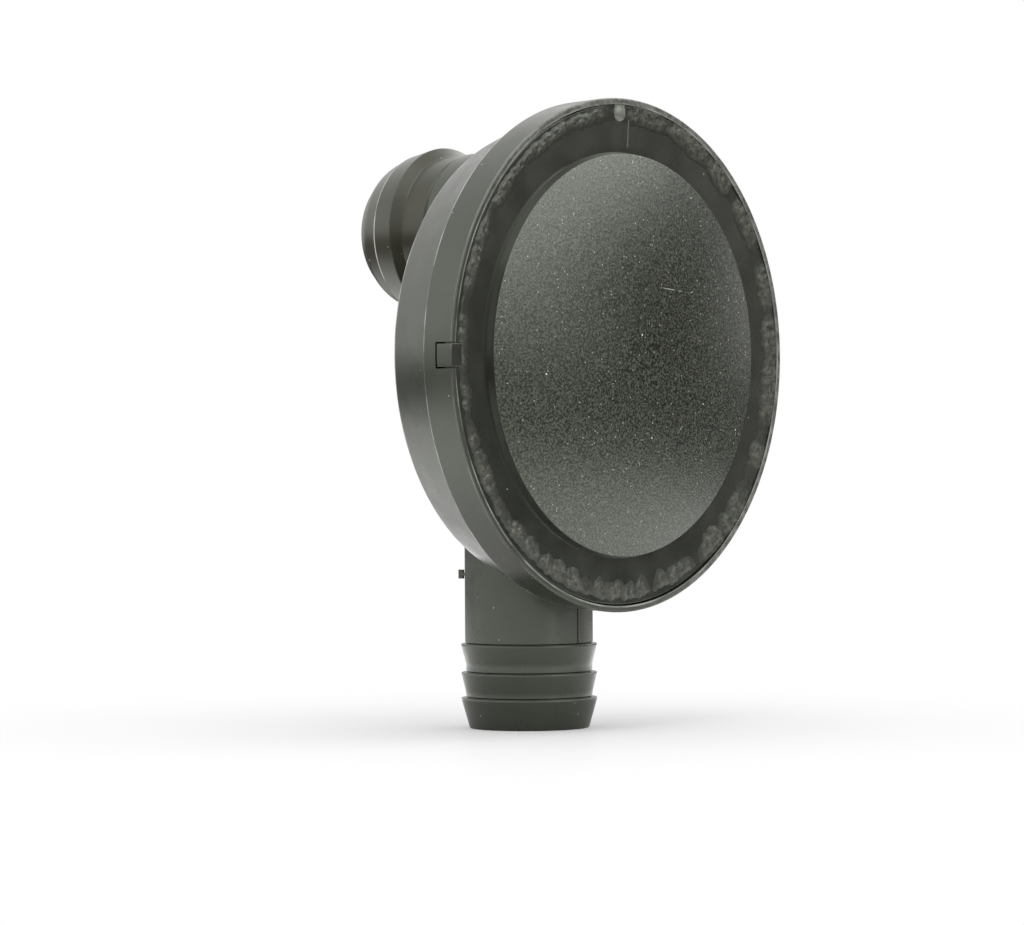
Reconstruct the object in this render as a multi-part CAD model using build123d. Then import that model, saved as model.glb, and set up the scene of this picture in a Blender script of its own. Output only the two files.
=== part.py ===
from build123d import *
from math import cos, radians, sin, sqrt
import os

# Crankcase vent valve: a round diaphragm housing that stands upright on its hose spigot.
# Millimetres, +Z up. The origin is the centre of the spigot's end face, and the disc looks to -Y.
# Outlines of the drum are drawn as (radius, depth), with depth measured back from the front rim.

# Where the three axes lie
SPIGOT_DROP = 18.2  # lowest point of the rim above the spigot's end face
RIM_SETBACK = 19.1  # front rim ahead of the spigot axis
PORT_DROP = 19.6  # plug-in port below the top of the rim

# Drum of the housing
RIM_RADIUS = 39.0
RIM_CHAMFER = 0.25
BAND_DEPTH = 5.9  # length of the front band of the side wall
BAND_DRAFT = 0.34  # how much the front band narrows over its length
BAND_STEP = 0.7  # step down from the front band to the rear cone
BACK_DEPTH = 15.4  # back face behind the rim
BACK_TAPER = 4.4  # how much smaller the back is than the rim
BACK_EDGE_CHAMFER = 0.4
BACK_WALL = 2.2
CONE_WALL = 2.4
FLOOR_CHAMFER = 1.2
LIP_WALL = 1.0  # thin lip that surrounds the cover
LEDGE_WIDTH = 0.9  # ledge that the cover sits on
GROOVE_WIDTH = 2.2  # groove for the bead of the diaphragm
GROOVE_DEPTH = 2.4
INNER_LIP_WIDTH = 0.5
INNER_LIP_HEIGHT = 0.5

# Front cover
COVER_GAP = 0.15  # around the cover, inside the lip
COVER_SEAT_GAP = 0.03
FLANGE_RECESS = 0.35  # flat flange of the cover behind the rim
FLANGE_THICKNESS = 2.0
COVER_EDGE_CHAMFER = 0.25
FLANGE_WIDTH = 7.35
DOME_STEP = 1.15  # step from the flange up to the dome's edge
DOME_STEP_RUN = 1.2
DOME_RISE = 3.4
DOME_WALL = 1.8
STOP_RING_INSET = 4.3  # stop ring inside the edge of the support plate
STOP_RING_WIDTH = 1.2
STOP_GAP = 0.3  # between the stop ring and the support plate at rest
DOME_RIB_COUNT = 6
DOME_RIB_WIDTH = 1.2
DOME_RIB_INNER = 7.0
DOME_RIB_INSET = 2.5  # ribs end inside the dome's edge
RIB_ROOT = 0.3  # how far ribs run into the dome's wall
TAB_WIDTH = 3.4
TAB_DEPTH = 3.1
TAB_FACE_LENGTH = 3.15
TAB_GAP = 0.25
TAB_ANGLE = 180.0
PIP_WIDTH = 2.6
PIP_LENGTH = 2.6
PIP_ANGLE = 90.0
VENT_WIDTH = 1.2
VENT_HEIGHT = 0.7
VENT_ANGLE = 172.0
VENT_INSET = 0.3  # channel starts outside the dome's edge

# Melted bead that closes the joint between the lip and the cover
BEAD_SHARE = 0.34  # width of the bead as a share of the flange
BEAD_HEIGHT = 0.3
BEAD_EDGE_GAP = 0.3
BEAD_LIFT = 0.02
BEAD_SHIFT = 0.45  # inner edge sits off centre, so the bead is widest at the bottom
BEAD_LUMP_COUNT = 44
BEAD_LUMP_RADIUS = 0.9
BEAD_LUMP_SPREAD = 0.3  # how much the lumps differ from each other
BEAD_LUMP_WAVE = 137.5  # turn in degrees that scatters the lump sizes
BEAD_CUT_GAP = 0.1  # around the tab and the pip

# Diaphragm
WEB_THICKNESS = 0.9
RUBBER_GAP = 0.05  # between the rubber and what clamps it
ROLL_GAP = 0.4  # between the rolling fold and the housing's inner lip
ROLL_RADIUS = 2.75  # outside of the rolling fold

# Regulating stack that moves with the middle of the diaphragm
LIFT = 3.4  # travel from the open stop to the seat
SEAT_CLEARANCE = 0.05
STACK_GAP = 0.02  # between stacked flat faces
PLATE_THICKNESS = 1.2
PLATE_TO_ROLL = 1.2
PLATE_RIM_HEIGHT = 0.6
PLATE_RIM_WIDTH = 1.2
RIVET_RADIUS = 1.5
RIVET_FIT = 0.05
RIVET_HEAD_RADIUS = 3.4
RIVET_HEAD_HEIGHT = 0.9
RIVET_HEAD_CHAMFER = 0.4
RIVET_TAIL_RADIUS = 2.4
RIVET_TAIL_HEIGHT = 1.1
CUP_BASE = 0.8
CUP_SKIRT = 2.2
CUP_WALL = 0.5
CUP_BORE_GAP = 0.6  # between the cup and the bore of the seat tube

# Seat tube and hose spigot
SEAT_BORE_RADIUS = 6.6
SEAT_WALL = 2.0
SEAT_NOSE_CHAMFER = 0.5
SPIGOT_RADIUS = 9.85
SPIGOT_WALL = 2.25
SPIGOT_TOP_CHAMFER = 1.5
SPIGOT_END_RADIUS = 9.2
SPIGOT_ROOT_RADIUS = 9.73
BARB_RADIUS = 10.45
BARB_TOPS = (4.7, 8.6, 13.0)  # upper edges of the barbs, above the end face
BARB_FLARE = 3.4  # length of a barb's taper
BARB_LAND = 0.25
BARB_DISH = 0.15  # dished top of a barb
BORE_CHAMFER = 0.5
LUG_HEIGHT = 23.4  # small clip lug behind the spigot, above the end face
LUG_REACH = 4.4
LUG_WIDTH = 0.5
LUG_WEB_HEIGHT = 0.5
LUG_HEAD_LENGTH = 0.8
LUG_HEAD_HEIGHT = 1.4

# Spring and its pad on the rear wall of the elbow
WIRE_RADIUS = 0.35
SPRING_TURNS = 7.0
SPRING_CUP_GAP = 0.25  # between the coils and the cup's skirt
SPRING_END_GAP = 0.02
SPRING_BORE_GAP = 0.35  # around the coils behind the seat
PAD_HEIGHT = 1.5
PIN_HEIGHT = 2.0
PIN_GAP = 0.4  # between the locating pin and the coils

# Plug-in port
PORT_BOSS_RADIUS = 12.2
PORT_BOSS_LENGTH = 13.9  # behind the back face
PORT_BOSS_FLARE = 1.0
PORT_BORE_RADIUS = 6.2
STUB_RADIUS = 8.0
STUB_SETBACK = 0.5  # stub ends inside the grommet's nose
STUB_BEAD_PLACE = 9.5  # from the boss's shoulder
STUB_BEAD_HEIGHT = 0.5
STUB_BEAD_LENGTH = 1.6

# Push-in grommet
GROMMET_FIT = 0.03
NECK_RADIUS = 11.9
NECK_LENGTH = 4.8  # groove that takes the wall of the mating cover
HEAD_RADIUS = 13.3
HEAD_SHOULDER = 1.4
HEAD_BAND_LENGTH = 4.0
HEAD_BAND_RADIUS = 12.4
NOSE_LENGTH = 5.9
NOSE_RADIUS = 9.0
NOSE_BULGE = 0.5

# Places worked out from the sizes above
DISC_HEIGHT = SPIGOT_DROP + RIM_RADIUS
PORT_HEIGHT = DISC_HEIGHT + RIM_RADIUS - PORT_DROP
RIM_Y = -RIM_SETBACK
BACK_Y = RIM_Y + BACK_DEPTH
BACK_RADIUS = RIM_RADIUS - BACK_TAPER
FLOOR_DEPTH = BACK_DEPTH - BACK_WALL
FLANGE_BACK = FLANGE_RECESS + FLANGE_THICKNESS
LEDGE_DEPTH = FLANGE_BACK + COVER_SEAT_GAP
GROOVE_FLOOR = LEDGE_DEPTH + GROOVE_DEPTH
INNER_LIP_TOP = GROOVE_FLOOR - INNER_LIP_HEIGHT
LIP_RADIUS = RIM_RADIUS - LIP_WALL
GROOVE_OUTER = LIP_RADIUS - LEDGE_WIDTH
GROOVE_INNER = GROOVE_OUTER - GROOVE_WIDTH
CAVITY_RADIUS = GROOVE_INNER - INNER_LIP_WIDTH
COVER_RADIUS = LIP_RADIUS - COVER_GAP
DOME_RADIUS = COVER_RADIUS - FLANGE_WIDTH
DOME_RIB_OUTER = DOME_RADIUS - DOME_RIB_INSET
TAB_INNER_RADIUS = COVER_RADIUS - TAB_FACE_LENGTH
VENT_INNER_RADIUS = DOME_RADIUS + VENT_INSET
DOME_EDGE = FLANGE_RECESS - DOME_STEP
BEAD_OUTER = COVER_RADIUS - BEAD_EDGE_GAP
BEAD_WIDTH = FLANGE_WIDTH * BEAD_SHARE
WEB_REAR = INNER_LIP_TOP - RUBBER_GAP
WEB_FRONT = WEB_REAR - WEB_THICKNESS
PLATE_REAR = WEB_FRONT - STACK_GAP
PLATE_FRONT = PLATE_REAR - PLATE_THICKNESS
ROLL_CENTRE = CAVITY_RADIUS - ROLL_GAP - ROLL_RADIUS
PLATE_RADIUS = ROLL_CENTRE - ROLL_RADIUS - PLATE_TO_ROLL
STOP_RING_RADIUS = PLATE_RADIUS - STOP_RING_INSET
CUP_FRONT = WEB_REAR + STACK_GAP
CUP_REAR = CUP_FRONT + CUP_BASE
CUP_RADIUS = SEAT_BORE_RADIUS - CUP_BORE_GAP
SEAT_DEPTH = WEB_REAR + LIFT + SEAT_CLEARANCE
SPIGOT_BORE_RADIUS = SPIGOT_RADIUS - SPIGOT_WALL
SPRING_RADIUS = CUP_RADIUS - CUP_WALL - SPRING_CUP_GAP - WIRE_RADIUS
PAD_DEPTH = RIM_SETBACK + SPIGOT_BORE_RADIUS - PAD_HEIGHT
PIN_RADIUS = SPRING_RADIUS - WIRE_RADIUS - PIN_GAP
SHOULDER_Y = BACK_Y + PORT_BOSS_LENGTH
GROMMET_LENGTH = NECK_LENGTH + HEAD_SHOULDER + HEAD_BAND_LENGTH + NOSE_LENGTH
STUB_LENGTH = GROMMET_LENGTH - STUB_SETBACK

DISC_AXIS = Axis((0, 0, DISC_HEIGHT), (0, 1, 0))
PORT_AXIS = Axis((0, 0, PORT_HEIGHT), (0, 1, 0))
RISING = (Align.CENTER, Align.CENTER, Align.MIN)


def outline(*points):
    """A closed straight-sided face through the points."""
    return make_face(Polyline(*points, close=True))


def disc_turned(face):
    """Turn a (radius, depth) face about the disc axis."""
    return revolve(Pos(0, RIM_Y, DISC_HEIGHT) * face, DISC_AXIS, 360)


def port_turned(face):
    """Turn a (radius, distance behind the boss's shoulder) face about the port axis."""
    return revolve(Pos(0, SHOULDER_Y, PORT_HEIGHT) * face, PORT_AXIS, 360)


def ring(inner, outer, front, back):
    """A flat ring on the disc axis between two depths."""
    return disc_turned(outline((inner, front), (outer, front), (outer, back), (inner, back)))


def back_rod(radius, height, start_y, end_y):
    """A round bar that runs from front to back."""
    return Pos(0, start_y, height) * Rot(-90, 0, 0) * Cylinder(radius, end_y - start_y, align=RISING)


def on_disc(shape, angle):
    """Turn a shape drawn on +X of the disc axis to its clock angle, 90 at the top."""
    return Pos(0, 0, DISC_HEIGHT) * Rot(0, -angle, 0) * shape


def radial_bar(inner, outer, width, front, back, angle):
    """A bar on the disc between two radii and two depths."""
    middle = Pos((inner + outer) / 2, RIM_Y + (front + back) / 2, 0)
    return on_disc(middle * Box(outer - inner, back - front, width), angle)


# Housing
def drum():
    """Side wall with its lip, ledge and bead groove, and the back wall."""
    band_end = RIM_RADIUS - BAND_DRAFT
    cone_inside = BACK_RADIUS - CONE_WALL
    return disc_turned(
        outline(
            (RIM_RADIUS - RIM_CHAMFER, 0),
            (RIM_RADIUS, RIM_CHAMFER),
            (band_end, BAND_DEPTH),
            (band_end - BAND_STEP, BAND_DEPTH),
            (BACK_RADIUS, BACK_DEPTH - BACK_EDGE_CHAMFER),
            (BACK_RADIUS - BACK_EDGE_CHAMFER, BACK_DEPTH),
            (0, BACK_DEPTH),
            (0, FLOOR_DEPTH),
            (cone_inside - FLOOR_CHAMFER, FLOOR_DEPTH),
            (cone_inside, FLOOR_DEPTH - FLOOR_CHAMFER),
            (CAVITY_RADIUS, GROOVE_FLOOR),
            (CAVITY_RADIUS, INNER_LIP_TOP),
            (GROOVE_INNER, INNER_LIP_TOP),
            (GROOVE_INNER, GROOVE_FLOOR),
            (GROOVE_OUTER, GROOVE_FLOOR),
            (GROOVE_OUTER, LEDGE_DEPTH),
            (LIP_RADIUS, LEDGE_DEPTH),
            (LIP_RADIUS, 0),
        )
    )


def spigot_body():
    """Hose spigot with saw-tooth barbs, closed at the top behind the seat."""
    points = [(0, 0), (SPIGOT_END_RADIUS, 0)]
    for top in BARB_TOPS:
        crest = top - BARB_LAND
        if top > BARB_TOPS[0]:
            points.append((SPIGOT_ROOT_RADIUS, crest - BARB_FLARE))
        points += [(BARB_RADIUS, crest), (BARB_RADIUS, top), (SPIGOT_ROOT_RADIUS, top - BARB_DISH)]
    points[-1] = (SPIGOT_RADIUS, BARB_TOPS[-1] - BARB_DISH)
    tube_top = DISC_HEIGHT + SEAT_BORE_RADIUS + SPIGOT_WALL
    points += [
        (SPIGOT_RADIUS, tube_top - SPIGOT_TOP_CHAMFER),
        (SPIGOT_RADIUS - SPIGOT_TOP_CHAMFER, tube_top),
        (0, tube_top),
    ]
    return revolve(Plane.XZ * outline(*points), Axis.Z, 360)


def spigot_bore():
    bore = Cylinder(SPIGOT_BORE_RADIUS, DISC_HEIGHT + SEAT_BORE_RADIUS, align=RISING)
    mouth_radius = SPIGOT_BORE_RADIUS + BORE_CHAMFER
    return bore + Cone(mouth_radius, SPIGOT_BORE_RADIUS, BORE_CHAMFER, align=RISING)


def seat_tube():
    """Raised tube inside the drum that the diaphragm closes on."""
    outside = SEAT_BORE_RADIUS + SEAT_WALL
    return disc_turned(
        outline(
            (0, SEAT_DEPTH),
            (outside - SEAT_NOSE_CHAMFER, SEAT_DEPTH),
            (outside, SEAT_DEPTH + SEAT_NOSE_CHAMFER),
            (outside, BACK_DEPTH),
            (0, BACK_DEPTH),
        )
    )


def spring_pad():
    """Pad and locating pin for the spring on the rear wall of the elbow."""
    wall_y = RIM_Y + RIM_SETBACK + SPIGOT_BORE_RADIUS + SPIGOT_WALL / 2
    pad_y = RIM_Y + PAD_DEPTH
    pad = back_rod(SPRING_RADIUS + WIRE_RADIUS, DISC_HEIGHT, pad_y, wall_y)
    return pad + back_rod(PIN_RADIUS, DISC_HEIGHT, pad_y - PIN_HEIGHT, pad_y)


def clip_lug():
    """Small T-shaped lug behind the spigot for a hose clip."""
    head_y = SPIGOT_RADIUS + LUG_REACH - LUG_HEAD_LENGTH / 2
    web_y = SPIGOT_RADIUS + LUG_REACH / 2 - LUG_WIDTH
    web = Pos(0, web_y, 0) * Box(LUG_WIDTH, LUG_REACH, LUG_WEB_HEIGHT)
    head = Pos(0, head_y, 0) * Box(LUG_WIDTH, LUG_HEAD_LENGTH, LUG_HEAD_HEIGHT)
    return Pos(0, 0, LUG_HEIGHT) * (web + head)


def port_stub():
    """Boss behind the drum with the stub that carries the grommet."""
    wall_y = BACK_Y - BACK_WALL / 2
    boss = back_rod(PORT_BOSS_RADIUS, PORT_HEIGHT, wall_y, SHOULDER_Y)
    flare = Pos(0, BACK_Y, PORT_HEIGHT) * Rot(-90, 0, 0) * Cone(
        PORT_BOSS_RADIUS + PORT_BOSS_FLARE, PORT_BOSS_RADIUS, PORT_BOSS_FLARE, align=RISING
    )
    bead_end = STUB_BEAD_PLACE + STUB_BEAD_LENGTH
    stub = port_turned(
        outline(
            (0, -BACK_WALL),
            (STUB_RADIUS, -BACK_WALL),
            (STUB_RADIUS, STUB_BEAD_PLACE),
            (STUB_RADIUS + STUB_BEAD_HEIGHT, STUB_BEAD_PLACE),
            (STUB_RADIUS, bead_end),
            (STUB_RADIUS, STUB_LENGTH),
            (0, STUB_LENGTH),
        )
    )
    return boss + flare + stub


def tab_slot():
    """Slot in the rim for the locating tab of the cover."""
    width = TAB_WIDTH + 2 * TAB_GAP
    return radial_bar(GROOVE_OUTER, RIM_RADIUS + 1, width, -1, TAB_DEPTH + TAB_GAP, TAB_ANGLE)


def valve_housing():
    body = drum() + spigot_body() + seat_tube() + port_stub() + clip_lug()
    body -= spigot_bore()
    body -= back_rod(SEAT_BORE_RADIUS, DISC_HEIGHT, RIM_Y, 0)
    spring_bore = SPRING_RADIUS + WIRE_RADIUS + SPRING_BORE_GAP
    body -= back_rod(spring_bore, DISC_HEIGHT, RIM_Y, RIM_Y + PAD_DEPTH)
    body -= back_rod(PORT_BORE_RADIUS, PORT_HEIGHT, RIM_Y, SHOULDER_Y + STUB_LENGTH + 1)
    body -= tab_slot()
    return body + spring_pad()


# Front cover
def dome_arc(edge_radius, edge_depth):
    """Arc of the dome from its edge to its middle."""
    ball = (edge_radius**2 + DOME_RISE**2) / (2 * DOME_RISE)
    half_angle = edge_radius / ball / 2
    apex = edge_depth - DOME_RISE
    halfway = (ball * sin(half_angle), apex + ball * (1 - cos(half_angle)))
    return ThreePointArc((edge_radius, edge_depth), halfway, (0, apex))


def cover_shell():
    """Shallow dome that stands on a flat flange."""
    inside_edge = DOME_RADIUS - DOME_STEP_RUN
    inside_depth = DOME_EDGE + DOME_WALL
    border = dome_arc(DOME_RADIUS, DOME_EDGE)
    border += Polyline(
        (DOME_RADIUS, DOME_EDGE),
        (DOME_RADIUS + DOME_STEP_RUN, FLANGE_RECESS),
        (COVER_RADIUS - COVER_EDGE_CHAMFER, FLANGE_RECESS),
        (COVER_RADIUS, FLANGE_RECESS + COVER_EDGE_CHAMFER),
        (COVER_RADIUS, FLANGE_BACK),
        (DOME_RADIUS, FLANGE_BACK),
        (inside_edge, inside_depth),
    )
    border += dome_arc(inside_edge, inside_depth)
    border += Line((0, inside_depth - DOME_RISE), (0, DOME_EDGE - DOME_RISE))
    return disc_turned(make_face(border))


def under_dome(end_depth):
    """The space below the dome, from just inside its wall to a flat plane."""
    edge = DOME_RADIUS - DOME_STEP_RUN
    start = DOME_EDGE + DOME_WALL - RIB_ROOT
    border = dome_arc(edge, start)
    border += Polyline((edge, start), (edge, end_depth), (0, end_depth), (0, start - DOME_RISE))
    return disc_turned(make_face(border))


def stop_ring():
    """Ring inside the dome that stops the support plate."""
    half = STOP_RING_WIDTH / 2
    end = PLATE_FRONT - STOP_GAP
    front = DOME_EDGE - DOME_RISE
    return ring(STOP_RING_RADIUS - half, STOP_RING_RADIUS + half, front, end) & under_dome(end)


def dome_ribs():
    """Radial ribs that stiffen the dome from inside."""
    front = DOME_EDGE - DOME_RISE
    end = DOME_EDGE + DOME_WALL
    step = 360 / DOME_RIB_COUNT
    space = under_dome(end)
    ribs = []
    for index in range(DOME_RIB_COUNT):
        bar = radial_bar(
            DOME_RIB_INNER, DOME_RIB_OUTER, DOME_RIB_WIDTH, front, end, step * index
        )
        ribs.append(bar & space)
    return ribs


def cover_tab():
    """Locating tab that fills the slot in the rim, flush with the side wall."""
    tab = radial_bar(TAB_INNER_RADIUS, COVER_RADIUS, TAB_WIDTH, 0, FLANGE_BACK, TAB_ANGLE)
    tab += radial_bar(
        GROOVE_OUTER + COVER_GAP, RIM_RADIUS + 1, TAB_WIDTH, 0, TAB_DEPTH, TAB_ANGLE
    )
    side_wall = disc_turned(
        outline(
            (0, 0),
            (RIM_RADIUS - RIM_CHAMFER, 0),
            (RIM_RADIUS, RIM_CHAMFER),
            (RIM_RADIUS - BAND_DRAFT, BAND_DEPTH),
            (0, BAND_DEPTH),
        )
    )
    return tab & side_wall


def cover_pip(grow=0.0):
    """Tongue on the flange at twelve o'clock with a rounded inner end."""
    round_radius = PIP_WIDTH / 2
    inner = BEAD_OUTER - PIP_LENGTH
    width = PIP_WIDTH + 2 * grow
    bar = radial_bar(inner + round_radius, BEAD_OUTER, width, 0, FLANGE_BACK, PIP_ANGLE)
    end = Pos(inner + round_radius, RIM_Y, 0) * Rot(-90, 0, 0) * Cylinder(
        round_radius + grow, FLANGE_BACK, align=RISING
    )
    return bar + on_disc(end, PIP_ANGLE)


def vent_channel():
    """Channel below the flange that lets air into the space in front of the diaphragm."""
    start = FLANGE_BACK - VENT_HEIGHT
    return radial_bar(
        VENT_INNER_RADIUS, COVER_RADIUS + 1, VENT_WIDTH, start, FLANGE_BACK + 1, VENT_ANGLE
    )


def front_cover():
    body = cover_shell() + stop_ring()
    for rib in dome_ribs():
        body += rib
    body += cover_tab()
    body += cover_pip()
    return body - vent_channel()


def closing_bead():
    """Melted ring on the flange with an uneven inner edge, widest at the bottom."""
    front = FLANGE_RECESS - BEAD_LIFT - BEAD_HEIGHT
    back = FLANGE_RECESS - BEAD_LIFT
    inner = BEAD_OUTER - BEAD_WIDTH
    hole = back_rod(inner, DISC_HEIGHT + BEAD_SHIFT, RIM_Y + front, RIM_Y + back)
    bead = back_rod(BEAD_OUTER, DISC_HEIGHT, RIM_Y + front, RIM_Y + back) - hole
    for index in range(BEAD_LUMP_COUNT):
        wave = sin(radians(BEAD_LUMP_WAVE * index))
        radius = BEAD_LUMP_RADIUS + BEAD_LUMP_SPREAD * wave
        lump = Pos(inner, RIM_Y + front, 0) * Rot(-90, 0, 0) * Cylinder(
            radius, BEAD_HEIGHT, align=RISING
        )
        bead += Pos(0, 0, BEAD_SHIFT) * on_disc(lump, 360 / BEAD_LUMP_COUNT * index)
    gap = TAB_WIDTH + 2 * BEAD_CUT_GAP
    inside = inner - BEAD_LUMP_RADIUS - BEAD_LUMP_SPREAD - BEAD_SHIFT
    bead -= radial_bar(inside, RIM_RADIUS, gap, front, LEDGE_DEPTH, TAB_ANGLE)
    return bead - cover_pip(BEAD_CUT_GAP)


# Diaphragm and the stack in its middle
def diaphragm():
    """Rubber membrane with a rolling fold and a bead clamped under the cover."""
    hole = RIVET_RADIUS + RIVET_FIT
    fold_inside = ROLL_RADIUS - WEB_THICKNESS
    fold_half = sqrt(ROLL_RADIUS**2 - WEB_THICKNESS**2)
    bead_inner = GROOVE_INNER + RUBBER_GAP
    bead_outer = GROOVE_OUTER - RUBBER_GAP
    bead_front = FLANGE_BACK + RUBBER_GAP
    bead_back = GROOVE_FLOOR - RUBBER_GAP
    border = ThreePointArc(
        (ROLL_CENTRE - fold_inside, WEB_FRONT),
        (ROLL_CENTRE, WEB_FRONT + fold_inside),
        (ROLL_CENTRE + fold_inside, WEB_FRONT),
    )
    border += Polyline(
        (ROLL_CENTRE + fold_inside, WEB_FRONT),
        (bead_inner, WEB_FRONT),
        (bead_inner, bead_front),
        (bead_outer, bead_front),
        (bead_outer, bead_back),
        (bead_inner, bead_back),
        (bead_inner, WEB_REAR),
        (ROLL_CENTRE + fold_half, WEB_REAR),
    )
    border += ThreePointArc(
        (ROLL_CENTRE + fold_half, WEB_REAR),
        (ROLL_CENTRE, WEB_FRONT + ROLL_RADIUS),
        (ROLL_CENTRE - fold_half, WEB_REAR),
    )
    border += Polyline(
        (ROLL_CENTRE - fold_half, WEB_REAR),
        (hole, WEB_REAR),
        (hole, WEB_FRONT),
        (ROLL_CENTRE - fold_inside, WEB_FRONT),
    )
    return disc_turned(make_face(border))


def support_plate():
    """Stiff plate in front of the rubber, with a raised rim."""
    hole = RIVET_RADIUS + RIVET_FIT
    rim_inside = PLATE_RADIUS - PLATE_RIM_WIDTH
    return disc_turned(
        outline(
            (hole, PLATE_FRONT),
            (rim_inside, PLATE_FRONT),
            (rim_inside, PLATE_FRONT - PLATE_RIM_HEIGHT),
            (PLATE_RADIUS, PLATE_FRONT - PLATE_RIM_HEIGHT),
            (PLATE_RADIUS, PLATE_REAR),
            (hole, PLATE_REAR),
        )
    )


def spring_cup():
    """Cup behind the rubber that holds the spring and enters the seat."""
    hole = RIVET_RADIUS + RIVET_FIT
    inside = CUP_RADIUS - CUP_WALL
    return disc_turned(
        outline(
            (hole, CUP_FRONT),
            (CUP_RADIUS, CUP_FRONT),
            (CUP_RADIUS, CUP_REAR + CUP_SKIRT),
            (inside, CUP_REAR + CUP_SKIRT),
            (inside, CUP_REAR),
            (hole, CUP_REAR),
        )
    )


def centre_rivet():
    """Rivet that clamps the plate, the rubber and the cup."""
    head_back = PLATE_FRONT - STACK_GAP
    head_front = head_back - RIVET_HEAD_HEIGHT
    tail_front = CUP_REAR + STACK_GAP
    tail_back = tail_front + RIVET_TAIL_HEIGHT
    return disc_turned(
        outline(
            (0, head_front),
            (RIVET_HEAD_RADIUS - RIVET_HEAD_CHAMFER, head_front),
            (RIVET_HEAD_RADIUS, head_front + RIVET_HEAD_CHAMFER),
            (RIVET_HEAD_RADIUS, head_back),
            (RIVET_RADIUS, head_back),
            (RIVET_RADIUS, tail_front),
            (RIVET_TAIL_RADIUS, tail_front),
            (RIVET_TAIL_RADIUS, tail_back - RIVET_HEAD_CHAMFER),
            (RIVET_TAIL_RADIUS - RIVET_HEAD_CHAMFER, tail_back),
            (0, tail_back),
        )
    )


def regulating_spring():
    """Long soft compression spring with ground ends, from the cup to the pad."""
    front = CUP_REAR + SPRING_END_GAP
    back = PAD_DEPTH - SPRING_END_GAP
    length = back - front
    path = Helix(pitch=length / SPRING_TURNS, height=length, radius=SPRING_RADIUS)
    wire = sweep(Plane(path @ 0, z_dir=path % 0) * Circle(WIRE_RADIUS), path=path, is_frenet=True)
    placed = Pos(0, RIM_Y + front, DISC_HEIGHT) * Rot(-90, 0, 0) * wire
    return placed & back_rod(SPRING_RADIUS + 1, DISC_HEIGHT, RIM_Y + front, RIM_Y + back)


# Grommet
def inlet_grommet():
    """Rubber push-in grommet: neck groove, widest edge, band and rounded nose."""
    bore = STUB_RADIUS + GROMMET_FIT
    start = GROMMET_FIT
    neck_end = start + NECK_LENGTH
    head = neck_end + HEAD_SHOULDER
    band = head + HEAD_BAND_LENGTH
    nose = band + NOSE_LENGTH
    bead_inside = bore + STUB_BEAD_HEIGHT
    bead_front = STUB_BEAD_PLACE - GROMMET_FIT
    bead_back = STUB_BEAD_PLACE + STUB_BEAD_LENGTH + GROMMET_FIT
    halfway = ((HEAD_BAND_RADIUS + NOSE_RADIUS) / 2 + NOSE_BULGE, (band + nose) / 2 + NOSE_BULGE)
    border = Polyline(
        (bore, start),
        (NECK_RADIUS, start),
        (NECK_RADIUS, neck_end),
        (HEAD_RADIUS, head),
        (HEAD_BAND_RADIUS, band),
    )
    border += ThreePointArc((HEAD_BAND_RADIUS, band), halfway, (NOSE_RADIUS, nose))
    border += Polyline(
        (NOSE_RADIUS, nose),
        (bore, nose),
        (bore, bead_back),
        (bead_inside, bead_front),
        (bore, bead_front),
        (bore, start),
    )
    return port_turned(make_face(border))


NODES = {
    "valve_housing": valve_housing,
    "front_cover": front_cover,
    "closing_bead": closing_bead,
    "diaphragm": diaphragm,
    "support_plate": support_plate,
    "spring_cup": spring_cup,
    "centre_rivet": centre_rivet,
    "regulating_spring": regulating_spring,
    "inlet_grommet": inlet_grommet,
}

os.makedirs("parts", exist_ok=True)
for name, build in NODES.items():
    export_step(build(), f"parts/{name}.step")
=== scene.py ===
import bmesh
import bpy
from math import acos, atan2, cos, hypot, pi, radians, sin, sqrt, tan
from mathutils import Matrix, Vector, noise

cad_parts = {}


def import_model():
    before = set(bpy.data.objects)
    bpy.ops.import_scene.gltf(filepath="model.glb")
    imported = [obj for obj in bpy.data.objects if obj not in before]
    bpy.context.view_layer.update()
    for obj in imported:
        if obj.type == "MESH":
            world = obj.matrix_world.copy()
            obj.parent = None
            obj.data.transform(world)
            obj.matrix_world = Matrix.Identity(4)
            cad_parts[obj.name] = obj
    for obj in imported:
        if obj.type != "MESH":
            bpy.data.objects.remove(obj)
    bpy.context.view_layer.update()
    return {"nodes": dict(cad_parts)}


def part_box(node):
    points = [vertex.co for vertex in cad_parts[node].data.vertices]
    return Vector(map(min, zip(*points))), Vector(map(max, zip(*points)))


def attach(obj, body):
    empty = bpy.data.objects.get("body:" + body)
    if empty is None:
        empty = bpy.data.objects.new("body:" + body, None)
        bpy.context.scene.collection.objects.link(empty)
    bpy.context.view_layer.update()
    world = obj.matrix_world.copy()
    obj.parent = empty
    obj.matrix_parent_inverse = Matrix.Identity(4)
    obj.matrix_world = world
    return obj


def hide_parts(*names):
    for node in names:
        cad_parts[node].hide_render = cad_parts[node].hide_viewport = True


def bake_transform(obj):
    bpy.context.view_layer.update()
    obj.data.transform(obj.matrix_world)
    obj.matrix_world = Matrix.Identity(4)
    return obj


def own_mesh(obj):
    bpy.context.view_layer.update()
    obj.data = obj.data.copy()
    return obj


# Crankcase vent valve, dressed over its frame. Metres, +Z up, the disc looks to -Y.
# Outlines of the drum are (radius, depth), with depth measured back from the front rim.
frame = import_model()

MM = 0.001
TURN_STEPS = 256
STRIP_RATIO = 20  # a face this many times longer than wide is a strip

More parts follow.
